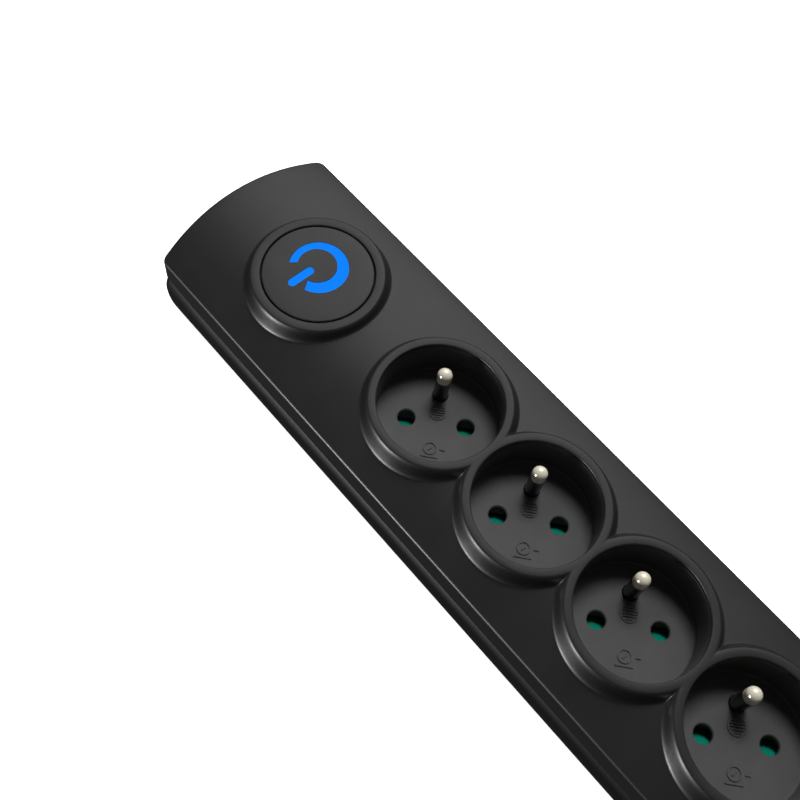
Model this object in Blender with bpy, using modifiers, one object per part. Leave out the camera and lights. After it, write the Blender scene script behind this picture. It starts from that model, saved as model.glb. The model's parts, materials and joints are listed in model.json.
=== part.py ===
"""Surge-protected socket strip: a long housing with round earth-pin sockets in a row and one lit button.

The strip stands on its rubber feet at z = 0. X runs along it from the button to the cord end, Z is up, and
the origin is under the middle of the housing. Sizes are in millimetres, and every mesh is scaled to metres
as it becomes an object.
"""

import math

import bmesh
import bpy
from mathutils import Vector

MM = 0.001
GAP = 0.3  # between pieces that touch
SEAM_GAP = 0.4  # between the cover and the case, whose curves have facets of different lengths
WELL_SIDES = 32  # facets round a well, its ring and the button
SOLVER = "MANIFOLD"  # the merged rings share flat tops, which the exact solver leaves open

# The row along the housing
SOCKETS = 5
PITCH = 42.25
BUTTON_TO_SOCKET = 58.9
END_MARGIN = 44.35  # from the centre of the button, and of the last socket, to the tip of its end
LENGTH = 2 * END_MARGIN + BUTTON_TO_SOCKET + (SOCKETS - 1) * PITCH
BUTTON_X = END_MARGIN - LENGTH / 2
SOCKET_XS = [BUTTON_X + BUTTON_TO_SOCKET + i * PITCH for i in range(SOCKETS)]
BETWEEN_XS = [x + PITCH / 2 for x in SOCKET_XS[:-1]]

# Plan of the cover
HALF_WIDTH = 33.5
END_BULGE = 4.9  # how far the curved end stands out past its corners
CORNER_RADIUS = 3.0
END_RADIUS = (HALF_WIDTH**2 + END_BULGE**2) / (2 * END_BULGE)
SWEEP_LENGTH = 28.0  # the cover's lower edge sweeps up over this much of each end
SWEEP_START = LENGTH / 2 - END_BULGE - SWEEP_LENGTH

# Heights
CASE_BOTTOM = 1.0
CASE_FLOOR = 3.0
BELLY_Z = 17.0
LIP_END_Z = 24.0
LIP_Z = 22.0
WELL_FLOOR_Z = 25.7
CROWN_Z = 37.7
RING_Z = 40.5
RING_ROOT_Z = 35.2  # the cones of the rings start inside the cover here
CROWN_RADIUS = 103.0
COVER_WALL = 1.8
COVER_TOP = 2.0

# Sockets
WELL_RADIUS = 19.75
CUP_RADIUS = 20.85
CUP_BORE = 21.3
CUP_TOP = 38.7
CUP_FLOOR = 2.0
RING_FLAT = 22.6
RING_FOOT = 24.4
SOCKET_TURN = math.radians(40)  # the line through the two holes, from X
HOLE_OFFSET = 9.5
HOLE_RADIUS = 2.83
EARTH_OFFSET = 10.0
EARTH_RADIUS = 2.4
EARTH_TIP_Z = WELL_FLOOR_Z + 15.3

# Power button
BUTTON_RADIUS = 18.05
BUTTON_BORE = 18.4
BUTTON_FLANGE = 19.6
BUTTON_RING_FLAT = 21.7
BUTTON_RING_FOOT = 23.3
BUTTON_UNDER = 35.8
PANEL_RADIUS = 11.8  # pocket under the cap that holds the light guide
SYMBOL_OUTER = 9.6
SYMBOL_INNER = 6.5
SYMBOL_BAR = 2.7

# Layers under the wells
CARRIER = (16.0, 18.2)
SHUTTER = (18.5, 23.4)
LEAF_TOP = 15.6
STRIP_Z = (5.0, 5.8)
EARTH_STRIP_Z = (13.5, 14.3)

# Fasteners, feet and cord entry
SCREW_SPOTS = [(x, y) for x in (-141.0, BETWEEN_XS[1], 141.0) for y in (-24.0, 24.0)]
FOOT_SPOTS = [(x, y) for x in (-122.0, 122.0) for y in (-22.0, 22.0)]
FOOT_RADIUS = 6.0
CORD_Z = 13.5
CORD_RADIUS = 4.0
CLAMP_X = 139.0
GLAND_FACE = LENGTH / 2 + 0.5  # its outer face, just inside the belly of the case
GLAND_FLANGE = 8.8
LEAD_RADIUS = 1.1

COLOURS = {
    "cover": ((0.045, 0.045, 0.046), 0.38, 0.0),
    "case": ((0.028, 0.028, 0.029), 0.42, 0.0),
    "insert": ((0.055, 0.055, 0.056), 0.55, 0.0),
    "button": ((0.040, 0.040, 0.041), 0.40, 0.0),
    "symbol": ((0.0, 0.22, 0.9), 0.30, 0.0),
    "shutter": ((0.01, 0.16, 0.12), 0.45, 0.0),
    "pin": ((0.72, 0.70, 0.65), 0.25, 1.0),
    "spring": ((0.55, 0.55, 0.56), 0.35, 1.0),
    "brass": ((0.72, 0.52, 0.22), 0.35, 1.0),
    "carrier": ((0.75, 0.74, 0.70), 0.60, 0.0),
    "switch": ((0.03, 0.03, 0.03), 0.50, 0.0),
    "plunger": ((0.70, 0.70, 0.68), 0.50, 0.0),
    "led": ((0.65, 0.75, 0.95), 0.15, 0.0),
    "board": ((0.02, 0.16, 0.06), 0.50, 0.0),
    "varistor": ((0.03, 0.10, 0.42), 0.45, 0.0),
    "fuse": ((0.80, 0.78, 0.72), 0.40, 0.0),
    "gland": ((0.025, 0.025, 0.026), 0.60, 0.0),
    "clamp": ((0.06, 0.06, 0.06), 0.55, 0.0),
    "screw": ((0.60, 0.60, 0.61), 0.35, 1.0),
    "foot": ((0.03, 0.03, 0.03), 0.85, 0.0),
    "brown_wire": ((0.16, 0.07, 0.03), 0.50, 0.0),
    "blue_wire": ((0.03, 0.12, 0.42), 0.50, 0.0),
    "earth_wire": ((0.30, 0.42, 0.04), 0.50, 0.0),
}


# ---------------------------------------------------------------- scene helpers


def clear_scene():
    for obj in list(bpy.data.objects):
        bpy.data.objects.remove(obj, do_unlink=True)


def new_collection(name):
    made = bpy.data.collections.new(name)
    bpy.context.scene.collection.children.link(made)
    return made


def make_materials():
    made = {}
    for name, (colour, roughness, metallic) in COLOURS.items():
        material = bpy.data.materials.new(name)
        material.use_nodes = True
        shader = material.node_tree.nodes["Principled BSDF"]
        shader.inputs["Base Color"].default_value = (*colour, 1.0)
        shader.inputs["Roughness"].default_value = roughness
        shader.inputs["Metallic"].default_value = metallic
        material.diffuse_color = (*colour, 1.0)
        made[name] = material
    return made


def place(name, mesh, finish, at=(0, 0, 0), turn=0.0):
    """An object of the strip, at a place in millimetres and turned about the vertical."""
    obj = bpy.data.objects.new(name, mesh)
    obj.location = Vector(at) * MM
    obj.rotation_euler = (0, 0, turn)
    if not mesh.materials:
        mesh.materials.append(MATERIALS[finish])
    PARTS.objects.link(obj)
    return obj


def mesh_of(name, bm):
    """The mesh in metres, facing out and shaded smooth up to 35 degrees, of a bmesh in millimetres."""
    bmesh.ops.scale(bm, vec=(MM, MM, MM), verts=bm.verts)
    bmesh.ops.recalc_face_normals(bm, faces=bm.faces)
    mesh = bpy.data.meshes.new(name)
    bm.to_mesh(mesh)
    bm.free()
    mesh.shade_smooth()
    mesh.set_sharp_from_angle(angle=math.radians(35))
    return mesh


def piece(name, bm, finish, at=(0, 0, 0), turn=0.0):
    return place(name, mesh_of(name, bm), finish, at, turn)


def helper(name, bm, at=(0, 0, 0), turn=0.0):
    """A solid that only cuts or joins others."""
    obj = bpy.data.objects.new(name, mesh_of(name, bm))
    obj.location = Vector(at) * MM
    obj.rotation_euler = (0, 0, turn)
    obj.hide_render = True
    obj.display_type = "WIRE"
    CUTTERS.objects.link(obj)
    return obj


def combine(obj, other, operation):
    modifier = obj.modifiers.new(other.name, "BOOLEAN")
    modifier.operation = operation
    modifier.solver = SOLVER
    modifier.object = other


def cut(obj, other):
    combine(obj, other, "DIFFERENCE")


def join(obj, other):
    combine(obj, other, "UNION")


# ---------------------------------------------------------------- shapes, in millimetres


def block(low, high):
    bm = bmesh.new()
    bmesh.ops.create_cube(bm, size=1)
    size = Vector(high) - Vector(low)
    bmesh.ops.scale(bm, vec=size, verts=bm.verts)
    bmesh.ops.translate(bm, vec=(Vector(high) + Vector(low)) / 2, verts=bm.verts)
    return bm


def rod(radius, low, high, at=(0, 0), sides=24, top_radius=None):
    """An upright cylinder, or a cone with another radius at its top."""
    bm = bmesh.new()
    top = radius if top_radius is None else top_radius
    bmesh.ops.create_cone(
        bm, cap_ends=True, segments=sides, radius1=radius, radius2=top, depth=high - low
    )
    bmesh.ops.translate(bm, vec=(*at, (low + high) / 2), verts=bm.verts)
    return bm


def lying_rod(radius, low_x, high_x, y, z, sides=24):
    """A cylinder along X."""
    bm = rod(radius, low_x, high_x, sides=sides)
    for vert in bm.verts:
        vert.co = Vector((vert.co.z, vert.co.y + y, z - vert.co.x))
    return bm


def prism(outline, low, high, along="z"):
    """A flat outline pushed out between two levels: (x, y) up Z, (x, z) along Y, or (y, z) along X."""
    order = {
        "z": lambda a, b, c: (a, b, c),
        "y": lambda a, b, c: (a, c, b),
        "x": lambda a, b, c: (c, a, b),
    }
    bm = bmesh.new()
    rings = [[bm.verts.new(order[along](a, b, level)) for a, b in outline] for level in (low, high)]
    skin(bm, rings)
    return bm


def skin(bm, rings):
    """Faces between neighbouring closed rings, and a cap on the first and the last."""
    count = len(rings[0])
    for lower, upper in zip(rings, rings[1:]):
        for i in range(count):
            j = (i + 1) % count
            bm.faces.new((lower[i], lower[j], upper[j], upper[i]))
    bm.faces.new(reversed(rings[0]))
    bm.faces.new(rings[-1])


def turned(name, profile, finish, at=(0, 0, 0), sides=24, along_x=False):
    """A profile of (radius, z) points from the top of the axis to its bottom, turned about that axis."""
    bm = bmesh.new()
    verts = [bm.verts.new((radius * MM, 0, z * MM)) for radius, z in profile]
    for a, b in zip(verts, verts[1:]):
        bm.edges.new((a, b))
    mesh = bpy.data.meshes.new(name)
    bm.to_mesh(mesh)
    bm.free()
    obj = place(name, mesh, finish, at)
    if along_x:
        obj.rotation_euler = (0, math.pi / 2, 0)
    screw = obj.modifiers.new("turn", "SCREW")
    screw.steps = sides
    screw.render_steps = sides
    screw.use_merge_vertices = True
    screw.merge_threshold = 0.00001
    return obj


def wire(name, points, radius, finish, at=(0, 0, 0), turn=0.0, resolution=2):
    """A round wire through a list of points."""
    data = bpy.data.curves.new(name, "CURVE")
    data.dimensions = "3D"
    data.bevel_depth = radius * MM
    data.bevel_resolution = resolution
    data.use_fill_caps = True
    spline = data.splines.new("POLY")
    spline.points.add(len(points) - 1)
    for point, place_mm in zip(spline.points, points):
        point.co = (*(Vector(place_mm) * MM), 1)
    data.materials.append(MATERIALS[finish])
    obj = bpy.data.objects.new(name, data)
    obj.location = Vector(at) * MM
    obj.rotation_euler = (0, 0, turn)
    PARTS.objects.link(obj)
    return obj


def arc_points(centre, radius, start, end, steps):
    """Points on an arc, both ends included, with the angles in radians."""
    angles = [start + (end - start) * i / steps for i in range(steps + 1)]
    return [(centre[0] + radius * math.cos(a), centre[1] + radius * math.sin(a)) for a in angles]


def smooth_route(route, steps=5):
    """Points on a Catmull-Rom curve through the route's own points."""
    padded = [route[0], *route, route[-1]]
    points = []
    for p0, p1, p2, p3 in zip(padded, padded[1:], padded[2:], padded[3:]):
        p0, p1, p2, p3 = Vector(p0), Vector(p1), Vector(p2), Vector(p3)
        for i in range(steps):
            t = i / steps
            points.append(
                0.5 * (2 * p1 + (p2 - p0) * t + (2 * p0 - 5 * p1 + 4 * p2 - p3) * t**2
                       + (3 * p1 - p0 - 3 * p2 + p3) * t**3)
            )
    return [*points, Vector(route[-1])]


# ---------------------------------------------------------------- housing outline


def outline(inset):
    """The plan of the housing, moved in by a distance: straight sides, round corners and bulging ends."""
    width = HALF_WIDTH - inset
    end_radius = END_RADIUS - inset
    corner = max(CORNER_RADIUS - inset, 1.0)
    end_centre = LENGTH / 2 - END_RADIUS
    corner_x = end_centre + math.sqrt((end_radius - corner) ** 2 - (width - corner) ** 2)
    corner_y = width - corner
    meet = math.atan2(corner_y, corner_x - end_centre)
    side = [(SWEEP_START + (corner_x - SWEEP_START) * i / 4, width) for i in range(4)]
    bend = arc_points((corner_x, corner_y), corner, math.pi / 2, meet, 3)
    end = arc_points((end_centre, 0), end_radius, meet, -meet, 4)
    half = [*side, *bend, *end[1:-1]]
    half += [(x, -y) for x, y in reversed([*side, *bend])]
    return half + [(-x, -y) for x, y in half]


def lip_edge(x):
    """Height of the cover's lower edge, which sweeps up towards both ends."""
    share = min(max((abs(x) - SWEEP_START) / SWEEP_LENGTH, 0.0), 1.0)
    return LIP_Z + (LIP_END_Z - LIP_Z) * share**2


def crowned_bar(radius, top):
    """A long bar wider than the housing, with the cover's rounded top."""
    edge = HALF_WIDTH + 3
    lean = math.asin(edge / radius)
    arc = arc_points((0, top - radius), radius, math.pi / 2 - lean, math.pi / 2 + lean, 8)
    return prism([(-edge, 15.0), (edge, 15.0), *arc], -LENGTH, LENGTH, along="x")


def below_lip():
    """Everything under the cover's lower edge."""
    reach = LENGTH / 2 + 10
    steps = 4
    right = [SWEEP_START + SWEEP_LENGTH * i / steps for i in range(steps + 1)]
    stations = [-reach, *[-x for x in reversed(right)], *right, reach]
    shape = [(x, lip_edge(x)) for x in stations]
    return prism([(reach, 5.0), *reversed(shape), (-reach, 5.0)], -50, 50, along="y")


# ---------------------------------------------------------------- housing


def make_cover():
    cover = piece("top_cover", prism(outline(0), 16.0, 45.0), "cover")
    combine(cover, helper("cover_crown", crowned_bar(CROWN_RADIUS, CROWN_Z)), "INTERSECT")
    hollow = helper("cover_hollow", prism(outline(COVER_WALL), 10.0, 44.0))
    inner_bar = crowned_bar(CROWN_RADIUS - COVER_TOP, CROWN_Z - COVER_TOP)
    inner_crown = helper("cover_inner_crown", inner_bar)
    combine(hollow, inner_crown, "INTERSECT")
    cut(cover, hollow)
    cut(cover, helper("cover_below_lip", below_lip()))
    for i, (x, y) in enumerate(SCREW_SPOTS):
        join(cover, helper(f"boss_{i + 1}", rod(3.5, 8.3, 34.6, (x, y), 12)))
        cut(cover, helper(f"boss_hole_{i + 1}", rod(1.7, 5.0, 21.0, (x, y), 8)))
    for i, x in enumerate(SOCKET_XS):
        ring = rod(RING_FOOT, RING_ROOT_Z, RING_Z, (x, 0), WELL_SIDES, RING_FLAT)
        join(cover, helper(f"ring_{i + 1}", ring))
    ring = rod(BUTTON_RING_FOOT, RING_ROOT_Z, RING_Z, (BUTTON_X, 0), WELL_SIDES, BUTTON_RING_FLAT)
    join(cover, helper("button_ring", ring))
    for i, x in enumerate(SOCKET_XS):
        cut(cover, helper(f"cup_bore_{i + 1}", rod(CUP_BORE, 20.0, CUP_TOP + GAP, (x, 0), WELL_SIDES)))
        cut(cover, helper(f"well_bore_{i + 1}", rod(WELL_RADIUS, 30.0, 50.0, (x, 0), WELL_SIDES)))
    cut(cover, helper("flange_bore", rod(BUTTON_FLANGE + 0.6, 20.0, 37.8, (BUTTON_X, 0), WELL_SIDES)))
    cut(cover, helper("button_bore", rod(BUTTON_BORE, 30.0, 50.0, (BUTTON_X, 0), WELL_SIDES)))


def case_rings(bm):
    """The bottom case's wall as rings: up the bellied outside, over the tongue and down to the floor."""
    top_inset, belly_inset, foot_inset = 1.0, -0.9, 2.05
    tongue = (COVER_WALL + GAP, COVER_WALL + GAP + 1.2)
    rings = []

    def ring(inset, height):
        rings.append([bm.verts.new((x, y, height(x))) for x, y in outline(inset)])

    ring(foot_inset + 0.9, lambda x: CASE_BOTTOM)
    ring(foot_inset, lambda x: CASE_BOTTOM + 0.9)
    for share in (0.0, 0.35, 0.7, 1.0):
        inset = belly_inset + (top_inset - belly_inset) * share**2
        ring(inset, lambda x, s=share: BELLY_Z + (lip_edge(x) - SEAM_GAP - BELLY_Z) * s)
    ring(tongue[0], lambda x: lip_edge(x) - SEAM_GAP)
    ring(tongue[0], lambda x: lip_edge(x) + 1.6)
    ring(tongue[1], lambda x: lip_edge(x) + 1.6)
    ring(tongue[1], lambda x: lip_edge(x) - 1.5)
    ring(belly_inset + 2.2, lambda x: BELLY_Z)
    ring(foot_inset + 2.2, lambda x: CASE_FLOOR + 1.0)
    ring(foot_inset + 2.7, lambda x: CASE_FLOOR)
    return rings


def make_case():
    bm = bmesh.new()
    skin(bm, case_rings(bm))
    case = piece("bottom_case", bm, "case")
    for i, (x, y) in enumerate(SCREW_SPOTS):
        join(case, helper(f"pillar_{i + 1}", rod(5.0, 2.0, 8.0, (x, y), 14)))
        cut(case, helper(f"head_recess_{i + 1}", rod(3.6, 0.0, 6.0, (x, y), 14)))
        cut(case, helper(f"shank_hole_{i + 1}", rod(1.8, 5.0, 9.0, (x, y), 10)))
    for i, x in enumerate(BETWEEN_XS):
        for side in (-1, 1):
            post = rod(2.3, 2.0, CARRIER[0] - GAP, (x, side * 15.5), 8)
            join(case, helper(f"carrier_post_{i + 1}_{side}", post))
    for i, (x, y) in enumerate(FOOT_SPOTS):
        cut(case, helper(f"foot_recess_{i + 1}", rod(FOOT_RADIUS + GAP, 0.0, 2.0, (x, y), 18)))
    saddle = block((CLAMP_X - 4, -6, 2.0), (CLAMP_X + 4, 6, 11.0))
    join(case, helper("cord_saddle", saddle))
    groove = lying_rod(CORD_RADIUS + 0.2, CLAMP_X - 6, CLAMP_X + 6, 0, CORD_Z)
    cut(case, helper("saddle_groove", groove))
    for side in (-1, 1):
        spot = (CLAMP_X, side * 9.5)
        join(case, helper(f"clamp_post_{side}", rod(2.8, 2.0, CORD_Z + 0.7, spot, 16)))
        cut(case, helper(f"clamp_post_hole_{side}", rod(1.5, 5.0, CORD_Z + 2, spot, 12)))
    pad = lying_rod(GLAND_FLANGE + 1.2, GLAND_FACE - 5.0, GLAND_FACE - 1.8, 0, CORD_Z)
    join(case, helper("gland_pad", pad))
    recess = lying_rod(GLAND_FLANGE + GAP, GLAND_FACE - 2.2, GLAND_FACE + 8, 0, CORD_Z)
    cut(case, helper("gland_recess", recess))
    hole = lying_rod(7.3, GLAND_FACE - 10, GLAND_FACE + 8, 0, CORD_Z)
    cut(case, helper("gland_hole", hole))


def make_feet():
    profile = [
        (0, 1.7),
        (FOOT_RADIUS - 0.4, 1.7),
        (FOOT_RADIUS, 1.3),
        (FOOT_RADIUS, 0.5),
        (FOOT_RADIUS - 0.5, 0),
        (0, 0),
    ]
    for i, (x, y) in enumerate(FOOT_SPOTS):
        turned(f"rubber_foot_{i + 1}", profile, "foot", (x, y, 0), sides=18)


def make_case_screws():
    shank = [(0, 20.0), (0.9, 20.0), (1.4, 19.0), (1.4, 5.7)]
    head = [(3.2, 5.7), (3.2, 4.4), (2.8, 4.0), (1.2, 4.0), (1.2, 4.9), (0, 4.9)]
    for i, (x, y) in enumerate(SCREW_SPOTS):
        turned(f"case_screw_{i + 1}", [*shank, *head], "screw", (x, y, 0), sides=10)


# ---------------------------------------------------------------- sockets


def make_insert(number, x):
    """The heat-resistant cup of one socket, with the rails that guide its shutter."""
    under = WELL_FLOOR_Z - CUP_FLOOR
    body = rod(CUP_RADIUS, under, CUP_TOP, sides=WELL_SIDES)
    cup = piece(f"socket_insert_{number}", body, "insert", (x, 0, 0), SOCKET_TURN)
    well = rod(WELL_RADIUS, WELL_FLOOR_Z, 50.0, sides=WELL_SIDES)
    cut(cup, helper(f"well_{number}", well, (x, 0, 0), SOCKET_TURN))
    rails = {
        "left": block((-16.2, -12.0, SHUTTER[0]), (-14.0, 5.0, under + 0.5)),
        "right": block((14.0, -12.0, SHUTTER[0]), (16.2, 5.0, under + 0.5)),
        "stop": block((-4.0, -18.6, SHUTTER[0]), (4.0, -17.0, under + 0.5)),
    }
    for side, rail in rails.items():
        join(cup, helper(f"rail_{side}_{number}", rail, (x, 0, 0), SOCKET_TURN))
    for side in (-1, 1):
        hole = rod(HOLE_RADIUS, 15.0, 30.0, (side * HOLE_OFFSET, 0), 16)
        cut(cup, helper(f"live_hole_{number}_{side}", hole, (x, 0, 0), SOCKET_TURN))
    earth = rod(EARTH_RADIUS + 0.3, 15.0, 30.0, (0, EARTH_OFFSET), 14)
    cut(cup, helper(f"earth_hole_{number}", earth, (x, 0, 0), SOCKET_TURN))


def earth_spot(x):
    return (x - EARTH_OFFSET * math.sin(SOCKET_TURN), EARTH_OFFSET * math.cos(SOCKET_TURN))


def make_earth_pin(number, x):
    """A round pin with a domed tip, a collar on the carrier and a spigot through the earth bar."""
    tip = EARTH_TIP_Z - EARTH_RADIUS
    dome = arc_points((0, tip), EARTH_RADIUS, math.pi / 2, 0, 4)[1:]
    profile = [
        (0, EARTH_TIP_Z),
        *dome,
        (EARTH_RADIUS, 19.9),
        (3.3, 19.9),
        (3.3, CARRIER[1] + GAP),
        (EARTH_RADIUS, CARRIER[1] + GAP),
        (EARTH_RADIUS, EARTH_STRIP_Z[1] + GAP),
        (1.5, EARTH_STRIP_Z[1] + GAP),
        (1.5, 12.4),
        (0, 12.4),
    ]
    turned(f"earth_pin_{number}", profile, "pin", (*earth_spot(x), 0), sides=14)


def make_shutters():
    """One ramped sliding plate for each socket, across both live holes, with its return spring."""
    low, high = SHUTTER
    front, ramp_top, back = 3.1, -2.9, -5.0
    section = [(back, low), (front, low), (front, low + 0.5), (ramp_top, high), (back, high)]
    plate = mesh_of("shutter", prism(section, -13.6, 13.6, along="x"))
    spring_length = 11.3
    turns, wire_radius, coil_radius = 4, 0.3, 1.6
    steps = turns * 7
    coil = [
        (
            coil_radius * math.cos(2 * math.pi * turns * i / steps),
            -16.7 + spring_length * i / steps,
            21.0 + coil_radius * math.sin(2 * math.pi * turns * i / steps),
        )
        for i in range(steps + 1)
    ]
    for i, x in enumerate(SOCKET_XS):
        place(f"shutter_{i + 1}", plate, "shutter", (x, 0, 0), SOCKET_TURN)
        wire(f"shutter_spring_{i + 1}", coil, wire_radius, "spring", (x, 0, 0), SOCKET_TURN, resolution=1)


def make_carrier():
    """The plate that all the contacts and earth pins stand in."""
    ends = (SOCKET_XS[0] - 20.0, SOCKET_XS[-1] + 18.0)
    plate = block((ends[0], -19.0, CARRIER[0]), (ends[1], 19.0, CARRIER[1]))
    carrier = piece("contact_carrier", plate, "carrier")
    for i, x in enumerate(SOCKET_XS):
        for side in (-1, 1):
            hole = rod(HOLE_RADIUS, 10.0, 22.0, (side * HOLE_OFFSET, 0), 10)
            cut(carrier, helper(f"carrier_hole_{i + 1}_{side}", hole, (x, 0, 0), SOCKET_TURN))
        earth = rod(EARTH_RADIUS + 0.5, 10.0, 22.0, earth_spot(x), 10)
        cut(carrier, helper(f"carrier_earth_{i + 1}", earth))


def make_live_bar(name, side):
    """A brass strip under one row of holes, with a pair of spring leaves at each hole."""
    row_y = side * HOLE_OFFSET * math.sin(SOCKET_TURN)
    row_dx = side * HOLE_OFFSET * math.cos(SOCKET_TURN)
    ends = (SOCKET_XS[0] - 18.0, SOCKET_XS[-1] + 16.0)
    strip = block((ends[0], row_y - 2.5, STRIP_Z[0]), (ends[1], row_y + 2.5, STRIP_Z[1]))
    bar = piece(name, strip, "brass")
    for i, x in enumerate(SOCKET_XS):
        for leaf_side in (-1, 1):
            middle = x + row_dx + leaf_side * 2.85
            low = (middle - 0.3, row_y - 2.2, STRIP_Z[0] + 0.4)
            leaf = block(low, (middle + 0.3, row_y + 2.2, LEAF_TOP))
            join(bar, helper(f"{name}_leaf_{i + 1}_{leaf_side}", leaf))


def make_earth_bar():
    low, high = EARTH_STRIP_Z
    ends = (SOCKET_XS[0] - 18.0, SOCKET_XS[-1] + 16.0)
    bar = piece("earth_busbar", block((ends[0], 10.9, low), (ends[1], 13.0, high)), "brass")
    for i, x in enumerate(SOCKET_XS):
        spot = earth_spot(x)
        tab = block((spot[0] - 3.0, spot[1] - 2.8, low), (spot[0] + 3.0, 11.5, high))
        join(bar, helper(f"earth_tab_{i + 1}", tab))
        cut(bar, helper(f"earth_tab_hole_{i + 1}", rod(1.9, low - 2, high + 2, spot, 8)))


# ---------------------------------------------------------------- power button and switch


def symbol_solids(grow, low, high):
    """The power symbol as two solids, an open ring that swells to one side and a round-ended bar."""
    start, end = math.radians(-67 - 3 * grow), math.radians(220 + 3 * grow)
    outer = arc_points((-1.2, 1.0), SYMBOL_OUTER + grow, start, end, 24)
    inner = arc_points((-2.0, 1.0), SYMBOL_INNER - grow, end, start, 20)
    half = SYMBOL_BAR / 2 + grow
    bar = [
        *arc_points((-2.0, -2.1), half, 0, math.pi, 5),
        *arc_points((-2.0, -9.2), half, math.pi, 2 * math.pi, 5),
    ]
    return prism([*outer, *inner], low, high), prism(bar, low, high)


def make_button():
    """The push cap: a flanged disc with a pocket under it and the symbol's slots through its skin."""
    at = (BUTTON_X, 0, 0)
    cap = piece("power_button", rod(BUTTON_RADIUS, BUTTON_UNDER, RING_Z, sides=WELL_SIDES), "button", at)
    join(cap, helper("cap_flange", rod(BUTTON_FLANGE, BUTTON_UNDER, 37.5, sides=WELL_SIDES), at))
    cut(cap, helper("cap_pocket", rod(PANEL_RADIUS, 30.0, 38.9, sides=24), at))
    for i, slot in enumerate(symbol_solids(GAP / 2, 38.0, 42.0)):
        cut(cap, helper(f"symbol_slot_{i + 1}", slot, at))
    guide = piece("symbol_light_guide", rod(PANEL_RADIUS - GAP, 36.8, 38.6, sides=24), "symbol", at)
    for i, raised in enumerate(symbol_solids(0.0, 38.0, RING_Z - 0.1)):
        join(guide, helper(f"symbol_raised_{i + 1}", raised, at))


def make_switch():
    at = (BUTTON_X, 0, 0)
    body = piece("switch_body", block((-13, -11, 5.0), (13, 11, 24.3)), "switch", at)
    cut(body, helper("switch_well", block((-4.4, -4.4, 9.0), (4.4, 4.4, 30.0)), at))
    plunger = piece("switch_plunger", block((-4, -4, 14.0), (4, 4, 34.5)), "plunger", at)
    join(plunger, helper("plunger_bridge", block((-3.9, -15.5, 33.5), (3.9, 15.5, 35.5)), at))
    low, high = 24.6 + 0.4, 33.2 - 0.4
    turns, coil_radius = 5, 6.6
    steps = turns * 10
    coil = [
        (
            coil_radius * math.cos(2 * math.pi * turns * i / steps),
            coil_radius * math.sin(2 * math.pi * turns * i / steps),
            low + (high - low) * i / steps,
        )
        for i in range(steps + 1)
    ]
    wire("button_spring", coil, 0.4, "spring", at)
    dome = arc_points((0, 28.0), 2.2, math.pi / 2, 0, 5)[1:]
    turned("status_led", [(0, 30.2), *dome, (2.2, 24.6), (0, 24.6)], "led", (BUTTON_X + 10.3, 0, 0), sides=12)


# ---------------------------------------------------------------- surge protection, leads and cord entry


def make_surge_board():
    """The protection board between the switch and the first socket, with its varistors and thermal fuse."""
    board_x = BUTTON_X + 26.0
    piece("surge_board", block((-10.5, -26, 6.0), (10.5, 26, 7.6)), "board", (board_x, 0, 0))
    for side in (-1, 1):
        post = helper(f"board_post_{side}", rod(2.5, 2.0, 5.7, (board_x, side * 22.0), 12))
        join(bpy.data.objects["bottom_case"], post)
    disc = [(0, 2.2), (5.8, 2.2), (6.6, 1.4), (6.6, -1.4), (5.8, -2.2), (0, -2.2)]
    for i, y in enumerate((-16.5, 0.0, 16.5)):
        turned(f"varistor_{i + 1}", disc, "varistor", (board_x - 4.5, y, 15.0), along_x=True)
    fuse = [(0, 5.0), (1.6, 5.0), (2.0, 4.4), (2.0, -4.4), (1.6, -5.0), (0, -5.0)]
    obj = turned("thermal_fuse", fuse, "fuse", (board_x + 6.5, 0, 10.0), sides=16)
    obj.rotation_euler = (math.pi / 2, 0, 0)


def make_leads():
    """The insulated leads from the cord entry to the switch, the board and the bars."""
    near, far = SOCKET_XS[-1] + 19.0, BUTTON_X + 14.5
    for name, finish, side in (("lead_live", "brown_wire", -1), ("lead_neutral", "blue_wire", 1)):
        route = [
            (near, side * 2.6, 12.0),
            (near - 6, side * 8.0, 9.0),
            (near - 13, side * 11.6, 5.0),
            (0, side * 11.6, 4.6),
            (far + 31, side * 11.6, 4.6),
            (far + 20, side * 10.0, 4.5),
            (far, side * 8.0, 4.5),
        ]
        wire(name, smooth_route(route, 3), LEAD_RADIUS, finish)
    switched_start, bar_end = BUTTON_X + 14.5, SOCKET_XS[0] - 18.5
    switched = (("lead_switched_live", "brown_wire", -1), ("lead_switched_neutral", "blue_wire", 1))
    for name, finish, side in switched:
        route = [
            (switched_start, side * 8.25, 10.0),
            (switched_start + 4.0, side * 8.25, 10.6),
            (bar_end - 8.0, side * 7.6, 10.6),
            (bar_end - 1.8, side * 6.1, 9.0),
            (bar_end - 0.9, side * 6.1, 5.2),
        ]
        wire(name, smooth_route(route, 3), LEAD_RADIUS, finish)
    bar_end = SOCKET_XS[-1] + 16.5
    route = [
        (near + 1.2, 0, 15.8),
        (near + 1.2, 5.0, 15.6),
        (bar_end + 2.6, 10.0, 14.2),
        (bar_end, 12.0, 13.9),
    ]
    wire("lead_earth", smooth_route(route, 3), LEAD_RADIUS, "earth_wire")


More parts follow.
